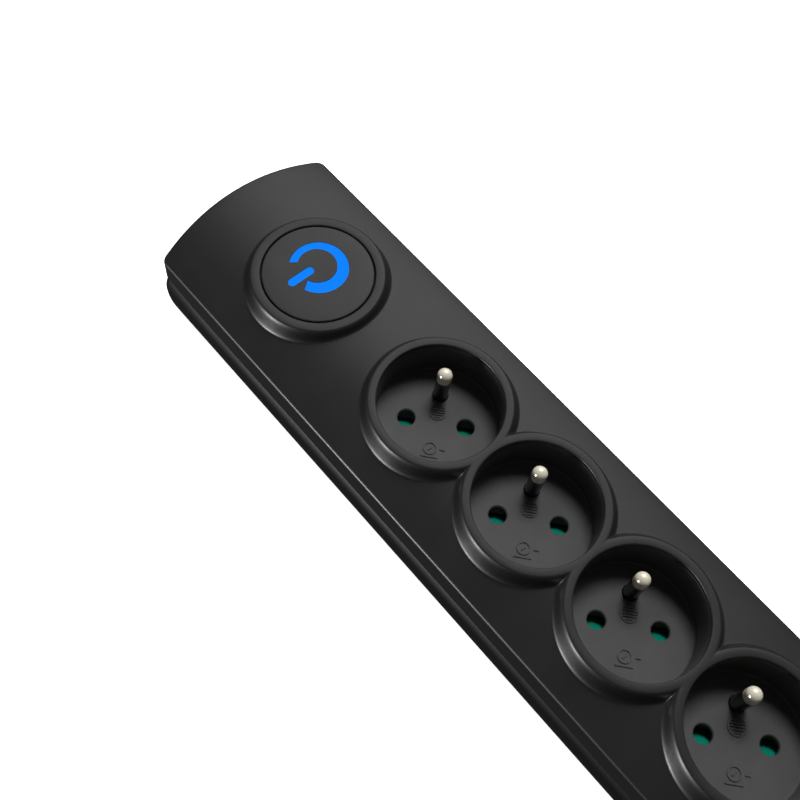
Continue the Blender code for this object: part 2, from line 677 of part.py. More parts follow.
def make_cord_entry():
    """The gland in the end wall, and the clamp that holds the cord's jacket inside it."""
    bore = CORD_RADIUS + 0.25
    gland = [
        (bore, 0.0),
        (GLAND_FLANGE - 0.8, 0.0),
        (GLAND_FLANGE, -0.6),
        (GLAND_FLANGE, -1.9),
        (6.9, -1.9),
        (6.9, -9.5),
        (bore, -9.5),
    ]
    turned("cord_gland", [*gland, gland[0]], "gland", (GLAND_FACE, 0, CORD_Z), sides=20, along_x=True)
    bar = block((CLAMP_X - 3.5, -12.5, CORD_Z + 1), (CLAMP_X + 3.5, 12.5, CORD_Z + 6))
    clamp = piece("cord_clamp", bar, "clamp")
    groove = lying_rod(CORD_RADIUS + 0.2, CLAMP_X - 6, CLAMP_X + 6, 0, CORD_Z)
    cut(clamp, helper("clamp_groove", groove))
    seat = CORD_Z + 6 + GAP
    slot = [(0, seat + 0.6), (1.0, seat + 0.6), (1.0, seat + 1.7)]
    head = [(2.2, seat + 1.7), (2.6, seat + 1.3), (2.6, seat)]
    shank = [(1.2, seat), (1.2, 7.0), (0.8, 6.2), (0, 6.2)]
    for i, side in enumerate((-1, 1)):
        spot = (CLAMP_X, side * 9.5)
        cut(clamp, helper(f"clamp_hole_{i + 1}", rod(1.5, CORD_Z - 2, CORD_Z + 9, spot, 12)))
        turned(f"clamp_screw_{i + 1}", [*slot, *head, *shank], "screw", (*spot, 0), sides=10)


clear_scene()
PARTS = new_collection("socket_strip")
CUTTERS = new_collection("cutters")
CUTTERS.hide_render = True
MATERIALS = make_materials()

make_cover()
make_case()
make_feet()
make_case_screws()
for socket_number, socket_x in enumerate(SOCKET_XS, start=1):
    make_insert(socket_number, socket_x)
    make_earth_pin(socket_number, socket_x)
make_shutters()
make_carrier()
make_live_bar("live_busbar", -1)
make_live_bar("neutral_busbar", 1)
make_earth_bar()
make_button()
make_switch()
make_surge_board()
make_leads()
make_cord_entry()
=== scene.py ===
"""Looks of the surge-protected socket strip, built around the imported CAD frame.

Meshes are made in millimetres in the frame's own axes and scaled to metres as they become objects: X runs
along the strip from the button to the cord end, Y across it and Z up, with the feet on z = 0.
"""

import json
import math

import bmesh
import bpy
import numpy as np
from mathutils import Matrix, Vector


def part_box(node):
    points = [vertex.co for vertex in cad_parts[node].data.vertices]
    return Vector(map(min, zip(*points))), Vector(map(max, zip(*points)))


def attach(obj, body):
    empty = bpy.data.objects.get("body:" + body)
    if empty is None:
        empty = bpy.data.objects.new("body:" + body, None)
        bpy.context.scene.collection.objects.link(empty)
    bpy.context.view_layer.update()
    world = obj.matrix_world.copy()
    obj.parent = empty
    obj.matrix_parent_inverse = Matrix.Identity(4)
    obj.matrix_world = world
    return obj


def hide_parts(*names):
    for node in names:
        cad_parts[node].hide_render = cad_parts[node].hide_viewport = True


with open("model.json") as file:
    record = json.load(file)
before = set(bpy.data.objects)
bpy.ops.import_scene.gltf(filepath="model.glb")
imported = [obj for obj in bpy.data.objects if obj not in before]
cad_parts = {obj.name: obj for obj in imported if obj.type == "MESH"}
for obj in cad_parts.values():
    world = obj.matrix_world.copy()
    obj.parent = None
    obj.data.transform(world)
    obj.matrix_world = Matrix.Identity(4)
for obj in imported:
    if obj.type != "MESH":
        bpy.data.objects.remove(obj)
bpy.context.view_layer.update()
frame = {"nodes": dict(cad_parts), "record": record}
NODES = frame["nodes"]
RECORD = frame["record"]
BODY_OF = {node: body for body, nodes in RECORD["behaviour"]["bodies"].items() for node in nodes}
SLOT_OF = {part["node"]: part["material_slot"] for part in RECORD["subparts"]}

MM = 0.001
TAU = 2 * math.pi


def box_mm(node):
    """A CAD node's lowest and highest corners in millimetres."""
    low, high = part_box(node)
    return np.array(low) / MM, np.array(high) / MM


def middle_mm(node):
    low, high = box_mm(node)
    return (low + high) / 2


# ---------------------------------------------------------------- sizes read from the frame

HALF_LENGTH = float(box_mm("top_cover")[1][0])
HALF_WIDTH = float(box_mm("top_cover")[1][1])
RING_Z = float(box_mm("top_cover")[1][2])
CASE_BOTTOM = float(box_mm("bottom_case")[0][2])
SOCKET_COUNT = sum(name.startswith("socket_insert_") for name in NODES)
BUTTON_X = float(middle_mm("power_button")[0])
PIN_CENTRES = [middle_mm(f"earth_pin_{i + 1}") for i in range(SOCKET_COUNT)]
EARTH_TIP_Z = float(box_mm("earth_pin_1")[1][2])
PITCH = float(PIN_CENTRES[1][0] - PIN_CENTRES[0][0])

# ---------------------------------------------------------------- sizes of the design, in millimetres

EARTH_OFFSET = 10.0
SOCKET_TURN = math.radians(40.0)
SOCKET_XS = [float(pin[0]) + EARTH_OFFSET * math.sin(SOCKET_TURN) for pin in PIN_CENTRES]

END_BULGE = 4.9
CORNER_RADIUS = 3.0
END_RADIUS = (HALF_WIDTH**2 + END_BULGE**2) / (2 * END_BULGE)
END_CENTRE = HALF_LENGTH - END_RADIUS
CORNER_Y = HALF_WIDTH - CORNER_RADIUS
CORNER_X = END_CENTRE + math.sqrt((END_RADIUS - CORNER_RADIUS) ** 2 - CORNER_Y**2)
SWEEP_LENGTH = 28.0
SWEEP_START = HALF_LENGTH - END_BULGE - SWEEP_LENGTH
CROWN_Z = RING_Z - 2.8
CROWN_RADIUS = 103.0
LIP_Z = 22.0
LIP_END_Z = 24.0
SEAM_GAP = 0.4
COVER_WALL = 1.65
LIP_WALL = 1.8
TOP_FILLET = 0.8
LIP_FILLET = 0.5
BELLY_Z = 17.0

WELL_RADIUS = 19.75
WELL_FLOOR_Z = 25.7
CUP_TOP = 38.7
CUP_RADIUS = 20.85
CUP_UNDER = 23.8
RING_EDGE = 22.8
RING_SLOPE = 2.8
EDGE_ROUNDING = 0.75
FOOT_ROUNDING = 1.5
VALLEY_ROUNDING = 1.2
RIM_FILLET = 0.4
HOLE_OFFSET = 9.5
HOLE_RADIUS = 2.83
EARTH_RADIUS = 2.4
TIP_LENGTH = 4.2  # the bright part of an earth pin, above its shaft that is painted dark as shade

BUTTON_RADIUS = 18.05
BUTTON_BORE = 18.4
BUTTON_RING_EDGE = 21.9
BUTTON_UNDER = 35.8
PANEL_RADIUS = 11.8
SYMBOL_CENTRE = (BUTTON_X - 0.3, 0.6)


# ---------------------------------------------------------------- materials

GRAIN_SCALE = 2600.0  # of the finest texture in every finish
TIP_BLEND = 0.6  # the height over which an earth pin turns from bright to the painted shade of its shaft


def new_material(name):
    material = bpy.data.materials.new(name)
    material.use_nodes = True
    tree = material.node_tree
    return material, tree, tree.nodes["Principled BSDF"]


def noise_node(tree, scale, detail):
    """A noise texture in the object's own coordinates, in metres."""
    coords = tree.nodes.new("ShaderNodeTexCoord")
    noise = tree.nodes.new("ShaderNodeTexNoise")
    noise.inputs["Scale"].default_value = scale
    noise.inputs["Detail"].default_value = detail
    tree.links.new(coords.outputs["Object"], noise.inputs["Vector"])
    return noise.outputs["Fac"]


def ranged(tree, value, low, high):
    """Spreads a noise's middle values over a range."""
    node = tree.nodes.new("ShaderNodeMapRange")
    node.inputs["From Min"].default_value = 0.3
    node.inputs["From Max"].default_value = 0.7
    node.inputs["To Min"].default_value = low
    node.inputs["To Max"].default_value = high
    tree.links.new(value, node.inputs["Value"])
    return node.outputs["Result"]


def finish_of(name, colour, roughness, metallic=0.0, vary=0.12, bump=0.00001, specular=0.5, clouds=70.0,
              rough_vary=0.05, emission=None):
    """A moulded or metal surface: cloudy tone, uneven gloss and a fine grain in the bump."""
    material, tree, shader = new_material(name)
    shader.inputs["Metallic"].default_value = metallic
    shader.inputs["Specular IOR Level"].default_value = specular
    cloud = noise_node(tree, clouds, 4.0)
    fine = noise_node(tree, GRAIN_SCALE, 2.0)
    mix = tree.nodes.new("ShaderNodeMix")
    mix.data_type = "RGBA"
    mix.inputs["A"].default_value = (*[c * (1 - vary) for c in colour], 1)
    mix.inputs["B"].default_value = (*[min(c * (1 + vary), 1.0) for c in colour], 1)
    tree.links.new(ranged(tree, cloud, 0.0, 1.0), mix.inputs["Factor"])
    tree.links.new(mix.outputs["Result"], shader.inputs["Base Color"])
    gloss = ranged(tree, fine, roughness - rough_vary, roughness + rough_vary)
    tree.links.new(gloss, shader.inputs["Roughness"])
    relief = tree.nodes.new("ShaderNodeBump")
    relief.inputs["Strength"].default_value = 1.0
    relief.inputs["Distance"].default_value = bump
    tree.links.new(fine, relief.inputs["Height"])
    tree.links.new(relief.outputs["Normal"], shader.inputs["Normal"])
    if emission:
        shader.inputs["Emission Color"].default_value = (*emission, 1)
        shader.inputs["Emission Strength"].default_value = 1.0
    return material


def earth_wire_look():
    """Green sleeving with a yellow stripe that winds round the wire."""
    material, tree, shader = new_material("earth_pvc")
    coords = tree.nodes.new("ShaderNodeTexCoord")
    wave = tree.nodes.new("ShaderNodeTexWave")
    wave.bands_direction = "DIAGONAL"
    wave.inputs["Scale"].default_value = 60.0
    wave.inputs["Distortion"].default_value = 0.4
    mix = tree.nodes.new("ShaderNodeMix")
    mix.data_type = "RGBA"
    mix.inputs["A"].default_value = (0.02, 0.22, 0.03, 1)
    mix.inputs["B"].default_value = (0.62, 0.48, 0.02, 1)
    tree.links.new(coords.outputs["Object"], wave.inputs["Vector"])
    tree.links.new(ranged(tree, wave.outputs["Fac"], 0.0, 1.0), mix.inputs["Factor"])
    tree.links.new(mix.outputs["Result"], shader.inputs["Base Color"])
    shader.inputs["Roughness"].default_value = 0.4
    return material


def lit_look():
    """The lit symbol's blue, which glows evenly."""
    glow = (0.0, 0.22, 1.0)
    return finish_of("lit_blue", (0.0, 0.005, 0.02), 0.6, specular=0.1, emission=glow, bump=0.000002)


def pin_look_painted_shade():
    """Bright metal on the domed tip, and the shaft below it painted near black: painted shade and a painted
    reflection of the dark well.
    """
    material = finish_of("nickel_painted_shade", (0.95, 0.88, 0.72), 0.2, 0.25, vary=0.04, bump=0.0000006)
    tree = material.node_tree
    shader = tree.nodes["Principled BSDF"]
    coords = tree.nodes.new("ShaderNodeTexCoord")
    axes = tree.nodes.new("ShaderNodeSeparateXYZ")
    height = tree.nodes.new("ShaderNodeMapRange")
    height.inputs["From Min"].default_value = (EARTH_TIP_Z - TIP_LENGTH - TIP_BLEND) * MM
    height.inputs["From Max"].default_value = (EARTH_TIP_Z - TIP_LENGTH) * MM
    mix = tree.nodes.new("ShaderNodeMix")
    mix.data_type = "RGBA"
    # Painted shade and reflection: below the tip the shaft is coloured near black, as the dark, shaded well
    # would show in it.
    mix.inputs["A"].default_value = (0.03, 0.03, 0.028, 1)
    tree.links.new(coords.outputs["Object"], axes.inputs["Vector"])
    tree.links.new(axes.outputs["Z"], height.inputs["Value"])
    tree.links.new(height.outputs["Result"], mix.inputs["Factor"])
    tree.links.new(shader.inputs["Base Color"].links[0].from_socket, mix.inputs["B"])
    tree.links.new(mix.outputs["Result"], shader.inputs["Base Color"])
    return material


def make_looks():
    """One material for each material slot of the record."""
    return {
        "cover": finish_of("cover_abs", (0.016, 0.016, 0.0165), 0.42, bump=0.000006, rough_vary=0.03),
        "case": finish_of("case_abs", (0.007, 0.007, 0.0072), 0.5, specular=0.2, bump=0.000006),
        "insert": finish_of("insert_plastic", (0.072, 0.072, 0.073), 0.55, bump=0.00001, specular=0.35),
        "button": finish_of("button_abs", (0.022, 0.022, 0.022), 0.45, bump=0.000006),
        "symbol": lit_look(),
        "shutter": finish_of("teal_acetal", (0.003, 0.17, 0.115), 0.28, bump=0.000003),
        "pin": pin_look_painted_shade(),
        "spring": finish_of("spring_steel", (0.45, 0.45, 0.46), 0.28, 1.0, vary=0.1, bump=0.000001),
        "brass": finish_of("stamped_brass", (0.62, 0.42, 0.16), 0.3, 1.0, vary=0.12, bump=0.000003),
        "carrier": finish_of("natural_nylon", (0.62, 0.60, 0.53), 0.5, bump=0.000006),
        "switch": finish_of("switch_nylon", (0.02, 0.02, 0.02), 0.5),
        "plunger": finish_of("acetal", (0.6, 0.6, 0.57), 0.4),
        "led": finish_of("led_epoxy", (0.5, 0.65, 0.9), 0.12, bump=0.000001),
        "board": finish_of("solder_mask", (0.01, 0.09, 0.03), 0.35, clouds=400.0, vary=0.25),
        "varistor": finish_of("varistor_epoxy", (0.012, 0.06, 0.32), 0.3),
        "fuse": finish_of("fuse_ceramic", (0.66, 0.62, 0.5), 0.45),
        "gland": finish_of("gland_rubber", (0.012, 0.012, 0.012), 0.62, specular=0.3, bump=0.000015),
        "clamp": finish_of("clamp_nylon", (0.02, 0.02, 0.021), 0.5),
        "screw": finish_of("zinc", (0.52, 0.52, 0.54), 0.3, 1.0, vary=0.1, bump=0.000002, clouds=500.0),
        "foot": finish_of("foot_rubber", (0.014, 0.014, 0.014), 0.7, specular=0.25, bump=0.00002),
        "brown_wire": finish_of("brown_pvc", (0.10, 0.035, 0.012), 0.4),
        "blue_wire": finish_of("blue_pvc", (0.012, 0.07, 0.32), 0.4),
        "earth_wire": earth_wire_look(),
    }


LOOKS = make_looks()


def dress(obj, slot_name):
    obj.data.materials.clear()
    obj.data.materials.append(LOOKS[slot_name])


def stand_for(obj, node):
    """obj takes over a CAD node: its body, its material slot and its finish."""
    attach(obj, BODY_OF[node])
    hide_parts(node)
    dress(obj, SLOT_OF[node])


# ---------------------------------------------------------------- mesh helpers

SHARP_ANGLE = 32.0  # in degrees; an edge bent by more than this stays sharp


def mesh_object(name, verts, faces, sharp=SHARP_ANGLE, merge=0.002):
    """A smooth-shaded object in metres from points in millimetres, with coinciding points merged."""
    mesh = bpy.data.meshes.new(name)
    mesh.from_pydata([tuple(v) for v in verts], [], [tuple(f) for f in faces])
    bm = bmesh.new()
    bm.from_mesh(mesh)
    bmesh.ops.remove_doubles(bm, verts=bm.verts, dist=merge)
    bmesh.ops.scale(bm, vec=(MM, MM, MM), verts=bm.verts)
    bmesh.ops.recalc_face_normals(bm, faces=bm.faces)
    bm.to_mesh(mesh)
    bm.free()
    obj = bpy.data.objects.new(name, mesh)
    bpy.context.scene.collection.objects.link(obj)
    shade(obj, sharp)
    return obj


def shade(obj, sharp=SHARP_ANGLE):
    obj.data.shade_smooth()
    obj.data.set_sharp_from_angle(angle=math.radians(sharp))


def skin(rings, closed_ends=True):
    """Points and faces over rings of equal length, with a cap on the first and the last."""
    count = len(rings[0])
    verts = [p for ring in rings for p in ring]
    faces = []
    for k in range(len(rings) - 1):
        for i in range(count):
            j = (i + 1) % count
            a, b = k * count, (k + 1) * count
            faces.append((a + i, a + j, b + j, b + i))
    if closed_ends:
        faces.append(tuple(reversed(range(count))))
        faces.append(tuple(range((len(rings) - 1) * count, len(rings) * count)))
    return verts, faces


def turned(name, profile, centre=(0, 0, 0), steps=96, along_x=False):
    """A profile of (radius, height) points turned about a vertical axis, or about one along X."""
    is_tube = profile[0] == profile[-1]
    if not is_tube:
        profile = [(r, z) for r, z in profile if r > 0]
    rings = []
    for radius, height in profile:
        angles = [TAU * i / steps for i in range(steps)]
        ring = [(radius * math.cos(a), radius * math.sin(a), height) for a in angles]
        if along_x:
            ring = [(z, y, -x) for x, y, z in ring]
        rings.append([(x + centre[0], y + centre[1], z + centre[2]) for x, y, z in ring])
    return mesh_object(name, *skin(rings, closed_ends=not is_tube))


def arc(centre, radius, start, end, steps):
    """Points on an arc with both ends, the angles in degrees."""
    angles = [math.radians(start + (end - start) * i / steps) for i in range(steps + 1)]
    return [(centre[0] + radius * math.cos(a), centre[1] + radius * math.sin(a)) for a in angles]


def prism(name, flat, low, high, centre=(0, 0), turn=0.0, taper=0.0):
    """A flat outline, turned and pushed up between two heights, with a smaller top if tapered."""
    c, s = math.cos(turn), math.sin(turn)
    leaning = [(c * x - s * y, s * x + c * y) for x, y in flat]
    rings = []
    for z, scale in ((low, 1.0), (high, 1.0 - taper)):
        rings.append([(centre[0] + x * scale, centre[1] + y * scale, z) for x, y in leaning])
    return mesh_object(name, *skin(rings))


def bar_outline(length, width, steps=8):
    """A round-ended bar along X about the origin."""
    half = (length - width) / 2
    return arc((half, 0), width / 2, -90, 90, steps) + arc((-half, 0), width / 2, 90, 270, steps)


def boolean(obj, others, operation="DIFFERENCE"):
    """Cuts the others from obj, or joins them to it, and removes them."""
    for other in others:
        modifier = obj.modifiers.new("cut", "BOOLEAN")
        modifier.operation = operation
        modifier.solver = "MANIFOLD"
        modifier.object = other
    graph = bpy.context.evaluated_depsgraph_get()
    mesh = bpy.data.meshes.new_from_object(obj.evaluated_get(graph))
    obj.modifiers.clear()
    obj.data = mesh
    for other in others:
        bpy.data.objects.remove(other, do_unlink=True)
    shade(obj)


def copy_at(obj, name, x, y=0.0):
    """Another object of the same mesh, moved by millimetres."""
    twin = obj.copy()
    twin.name = name
    twin.location = (x * MM, y * MM, 0)
    bpy.context.scene.collection.objects.link(twin)
    return twin


# ---------------------------------------------------------------- plan of the housing


def inside(x, y, inset):
    """Whether points lie within the plan outline moved in by a distance."""
    x, y = np.abs(x), np.abs(y)
    in_corner = (x > CORNER_X) & (y * (CORNER_X - END_CENTRE) > CORNER_Y * (x - END_CENTRE))
    near_corner = np.hypot(x - CORNER_X, y - CORNER_Y) <= CORNER_RADIUS - inset
    in_end = (np.hypot(x - END_CENTRE, y) <= END_RADIUS - inset) | (x < END_CENTRE)
    return np.where(in_corner, near_corner, (y <= HALF_WIDTH - inset) & in_end)


def outward(x, y):
    """The outline's outward direction at a point on it or on a parallel curve."""
    ax, ay = abs(x), abs(y)
    if ax <= CORNER_X:
        away = Vector((0.0, 1.0))
    elif ay * (CORNER_X - END_CENTRE) > CORNER_Y * (ax - END_CENTRE):
        away = Vector((ax - CORNER_X, ay - CORNER_Y)).normalized()
    else:
        away = Vector((ax - END_CENTRE, ay)).normalized()
    return (math.copysign(away.x, x), math.copysign(away.y, y))


def outline(inset):
    """The plan outline moved in by a distance, as a ring with the same number of points at any distance."""
    width, end_radius = HALF_WIDTH - inset, END_RADIUS - inset
    corner = max(CORNER_RADIUS - inset, 0.6)
    corner_x = END_CENTRE + math.sqrt((end_radius - corner) ** 2 - (width - corner) ** 2)
    meet = math.degrees(math.atan2(width - corner, corner_x - END_CENTRE))
    straight = [(SWEEP_START * i / 8, width) for i in range(8)]
    swept = [(SWEEP_START + (corner_x - SWEEP_START) * i / 24, width) for i in range(24)]
    bend = arc((corner_x, width - corner), corner, 90, meet, 10)
    end = arc((END_CENTRE, 0), end_radius, meet, -meet, 48)
    quarter = [*straight, *swept, *bend, *end[1:24]]
    half = [*quarter, end[24], *[(x, -y) for x, y in reversed(quarter)]]
    return half + [(-x, -y) for x, y in half[1:-1]]


def lip_edge(x):
    """Height of the cover's lower edge, which sweeps up towards both ends."""
    share = min(max((abs(x) - SWEEP_START) / SWEEP_LENGTH, 0.0), 1.0)
    return LIP_Z + (LIP_END_Z - LIP_Z) * share**2


# ---------------------------------------------------------------- top cover

RINGS = [(BUTTON_X, BUTTON_RING_EDGE)] + [(x, RING_EDGE) for x in SOCKET_XS]
TO_BUTTON = (SOCKET_XS[0] - BUTTON_X) / 2
SPREAD = (0.12, 0.26, 0.42, 0.6, 0.8, 1.0)  # of the rows between a ring and the border of its cell


def ramp(past, rounding):
    """0 before an edge and the distance past it after, with a round start."""
    eased = np.square(np.clip(past + rounding, 0, None)) / (4 * rounding)
    return np.where(past > rounding, past, eased)


def soft_max(a, b, reach):
    """The greater of two heights, with the crease between them filled."""
    reach = np.maximum(reach, 1e-6)
    share = np.clip(reach - np.abs(a - b), 0, None) / reach
    return np.maximum(a, b) + share**2 * reach / 4


def cover_height(x, y):
    """Top of the cover: raised rings merged into each other on the crowned top, with soft valleys."""
    drops = [RING_SLOPE * ramp(np.hypot(x - centre, y) - edge, EDGE_ROUNDING) for centre, edge in RINGS]
    lowest = drops[0]
    for drop in drops[1:]:
        fill = np.minimum(VALLEY_ROUNDING, 0.8 * np.minimum(lowest, drop))
        lowest = -soft_max(-lowest, -drop, fill)
    crown = CROWN_Z - CROWN_RADIUS + np.sqrt(CROWN_RADIUS**2 - np.square(y))
    return soft_max(RING_Z - lowest, crown, FOOT_ROUNDING)


EVEN_RAYS = 256  # round each hole
BEND_RAYS = [math.radians(36.5 + 0.6 * i) for i in range(15)]  # closer together, at the plan's round corners
LEAST_GAP = 0.006  # in radians, between an even ray and any other


def cell_angles():
    """Directions round a hole, the same for every cell, with one exactly at each corner of a cell."""
    width = HALF_WIDTH - TOP_FILLET
    corners = [math.atan2(width, spread) for spread in (PITCH / 2, TO_BUTTON)]
    special = [f for a in corners + BEND_RAYS for f in (a, math.pi - a, math.pi + a, TAU - a)]
    even = [TAU * i / EVEN_RAYS for i in range(EVEN_RAYS)]
    even = [a for a in even if min(abs(a - b) for b in special) > LEAST_GAP]
    return np.array(sorted(even + special))


ANGLES = cell_angles()


def ray_reach(centre, left, right):
    """How far rays run from a hole's centre to the next cell or the edge, and which reach the edge."""
    c, s = np.cos(ANGLES), np.sin(ANGLES)
    low, high = np.zeros_like(ANGLES), np.full_like(ANGLES, 2 * HALF_LENGTH)
    for _ in range(50):
        half = (low + high) / 2
        within = inside(centre + half * c, half * s, TOP_FILLET)
        low, high = np.where(within, half, low), np.where(within, high, half)
    limit = np.where(c > 0, right, left) / np.maximum(np.abs(c), 1e-9)
    return np.minimum(low, limit), low <= limit + 1e-6


def add_sheet(verts, faces, rows, columns):
    """Adds quads between successive rows of points, only in the columns given as true."""
    count, first = len(ANGLES), len(verts)
    for row in rows:
        verts.extend(row)
    for k in range(len(rows) - 1):
        a, b = first + k * count, first + (k + 1) * count
        for i in range(count):
            j = (i + 1) % count
            if columns[i] and columns[j]:
                faces.append((a + i, a + j, b + j, b + i))


def cover_cell(verts, faces, centre, bore, edge, left, right):
    """One hole of the cover and the shell round it, out to the next cells or the housing's side."""
    reach, outer = ray_reach(centre, left, right)
    c, s = np.cos(ANGLES), np.sin(ANGLES)

    def on_top(radius, drop=0.0):
        r = np.minimum(radius, reach)
        x, y = centre + r * c, r * s
        return np.stack([x, y, cover_height(x, y) - drop], axis=1)

    top = [np.stack([centre + bore * c, bore * s, np.full_like(c, RING_Z - COVER_WALL)], axis=1)]
    for step in range(5):
        lean = math.pi / 2 * step / 4
        top.append(on_top(bore + RIM_FILLET * (1 - math.cos(lean)), RIM_FILLET * (1 - math.sin(lean))))
    last = edge + 3.0
    for radius in [(bore + edge) / 2, *np.linspace(edge - EDGE_ROUNDING, last, 22)]:
        top.append(on_top(radius))
    for share in SPREAD:
        top.append(on_top(np.minimum(last, reach) + np.maximum(reach - last, 0) * share))
    border = top[-1]
    away = np.array([outward(x, y) for x, y, _ in border])
    slope = np.abs(border[:, 1]) / np.sqrt(CROWN_RADIUS**2 - border[:, 1] ** 2) * np.abs(away[:, 1])
    start = np.arctan(slope)
    radius = TOP_FILLET / (1 - np.sin(start))

    def beside(base, out, height):
        return np.stack([base[:, 0] + away[:, 0] * out, base[:, 1] + away[:, 1] * out, height], axis=1)

    wall = [border]
    for step in range(1, 7):
        lean = start + (math.pi / 2 - start) * step / 6
        out = radius * (np.sin(lean) - np.sin(start))
        wall.append(beside(border, out, border[:, 2] - radius * (np.cos(start) - np.cos(lean))))
    side = wall[-1]
    lip = np.array([lip_edge(x) for x in side[:, 0]])
    for share in (0.35, 0.7):
        wall.append(beside(side, 0, side[:, 2] + (lip + LIP_FILLET - side[:, 2]) * share))
    for step in range(6):
        lean = math.pi / 2 * step / 5
        back, up = LIP_FILLET * (1 - math.cos(lean)), LIP_FILLET * (1 - math.sin(lean))
        wall.append(beside(side, -back, lip + up))
    inner = beside(side, -LIP_WALL, lip)
    wall.append(inner)
    ends = np.where(outer[:, None], inner, border)
    ends[:, 1] = np.clip(ends[:, 1], LIP_WALL - HALF_WIDTH, HALF_WIDTH - LIP_WALL)
    under = []
    for share in reversed(SPREAD):
        x = top[0][:, 0] + (ends[:, 0] - top[0][:, 0]) * share
        y = top[0][:, 1] + (ends[:, 1] - top[0][:, 1]) * share
        under.append(np.stack([x, y, cover_height(x, y) - COVER_WALL], axis=1))
    everywhere = np.ones_like(outer)
    add_sheet(verts, faces, top, everywhere)
    add_sheet(verts, faces, [*wall, under[0]], outer)
    add_sheet(verts, faces, [*under, top[0]], everywhere)


def make_cover():
    verts, faces = [], []
    cover_cell(verts, faces, BUTTON_X, BUTTON_BORE, BUTTON_RING_EDGE, math.inf, TO_BUTTON)
    for i, x in enumerate(SOCKET_XS):
        left = TO_BUTTON if i == 0 else PITCH / 2
        right = math.inf if i == SOCKET_COUNT - 1 else PITCH / 2
        cover_cell(verts, faces, x, WELL_RADIUS, RING_EDGE, left, right)
    stand_for(mesh_object("cover_shell", verts, faces, sharp=40.0, merge=0.004), "top_cover")


# ---------------------------------------------------------------- bottom case, feet, screws and gland


def gland_place():
    """Where the gland's outer face and axis are."""
    low, high = box_mm("cord_gland")
    return float(high[0]), 0.0, float(low[2] + high[2]) / 2


def case_rings():
    """Rings up the bellied outside, over the tongue inside the cover's lip and down to the floor."""
    rings = []

    def ring(inset, height):
        rings.append([(x, y, height(x)) for x, y in outline(inset)])

    def flat(z):
        return lambda x: z

    def above_belly(share):
        return lambda x: BELLY_Z + (lip_edge(x) - SEAM_GAP - BELLY_Z) * share

    foot, belly, shoulder, wall = 2.05, -0.9, 1.0, 2.2
    fillet = 0.9
    for step in range(6):
        lean = math.pi / 2 * step / 5
        ring(foot + fillet * (1 - math.sin(lean)), flat(CASE_BOTTOM + fillet * (1 - math.cos(lean))))
    low = CASE_BOTTOM + fillet
    for share in (0.12, 0.25, 0.4, 0.55, 0.7, 0.85):
        ring(foot + (belly - foot) * (1 - (1 - share) ** 2), flat(low + (BELLY_Z - low) * share))
    for share in (0.0, 0.15, 0.3, 0.45, 0.6, 0.72, 0.83, 0.92, 0.97):
        ring(belly + (shoulder - belly) * share**2, above_belly(share))
    ring(shoulder + 0.12, lambda x: lip_edge(x) - SEAM_GAP - 0.08)
    ring(shoulder + 0.35, lambda x: lip_edge(x) - SEAM_GAP)
    for inset, rise in ((2.1, 0.0), (2.1, 1.4), (3.3, 1.4), (3.3, -3.0)):
        ring(inset, lambda x, up=rise: lip_edge(x) - SEAM_GAP + up)
    ring(belly + wall, flat(BELLY_Z))
    ring(foot + wall, flat(4.5))
    ring(foot + wall + 0.8, flat(3.0))
    return rings


def make_case():
    """The bellied case with screw pillars, recesses for screws and feet, and the gland's hole."""
    case = mesh_object("case_shell", *skin(case_rings()))
    screws = [middle_mm(f"case_screw_{i + 1}") for i in range(6)]
    feet = [middle_mm(f"rubber_foot_{i + 1}") for i in range(4)]
    gland = gland_place()
    pillar = [(5.0, 2.0), (5.0, 8.0)]
    added = [turned(f"pillar_{i}", pillar, (x, y, 0), 40) for i, (x, y, _) in enumerate(screws)]
    added.append(turned("gland_pad", [(10.0, -5.0), (10.0, -1.8)], gland, 64, along_x=True))
    recess = [(3.6, 5.8), (3.6, 1.25), (3.9, 0.9), (3.9, 0.0)]
    socket = [(6.3, 1.95), (6.3, 1.2), (6.55, 0.9), (6.55, 0.0)]
    cuts = [turned(f"recess_{i}", recess, (x, y, 0), 40) for i, (x, y, _) in enumerate(screws)]
    cuts += [turned(f"foot_socket_{i}", socket, (x, y, 0), 48) for i, (x, y, _) in enumerate(feet)]
    cuts.append(turned("gland_recess", [(9.1, -2.1), (9.1, 9.0)], gland, 64, along_x=True))
    cuts.append(turned("gland_hole", [(7.2, -12.0), (7.2, 9.0)], gland, 64, along_x=True))
    boolean(case, added, "UNION")
    boolean(case, cuts)
    stand_for(case, "bottom_case")


def make_gland():
    """The rubber bush round the cord's hole, with a rounded flange and a plain nose inside."""
    bore = 4.25
    profile = [
        (bore, -9.4),
        (bore, -0.5),
        *arc((bore + 0.5, -0.5), 0.5, 180, 90, 5)[1:],
        *arc((7.9, -0.85), 0.85, 90, 0, 6),
        (8.75, -1.85),
        (6.8, -1.85),
        (6.8, -9.4),
        (bore, -9.4),
    ]
    stand_for(turned("gland_bush", profile, gland_place(), 72, along_x=True), "cord_gland")


def make_feet():
    """Rubber feet with a rounded edge and a shallow dimple."""
    rounded = arc((5.4, 0.55), 0.55, 0, -90, 6)
    profile = [(0.5, 1.65), (5.6, 1.65), (5.95, 1.3), *rounded, (3.2, 0.0), (2.9, 0.25), (0.5, 0.3)]
    for i in range(4):
        x, y, _ = middle_mm(f"rubber_foot_{i + 1}")
        stand_for(turned(f"foot_pad_{i + 1}", profile, (x, y, 0), 48), f"rubber_foot_{i + 1}")


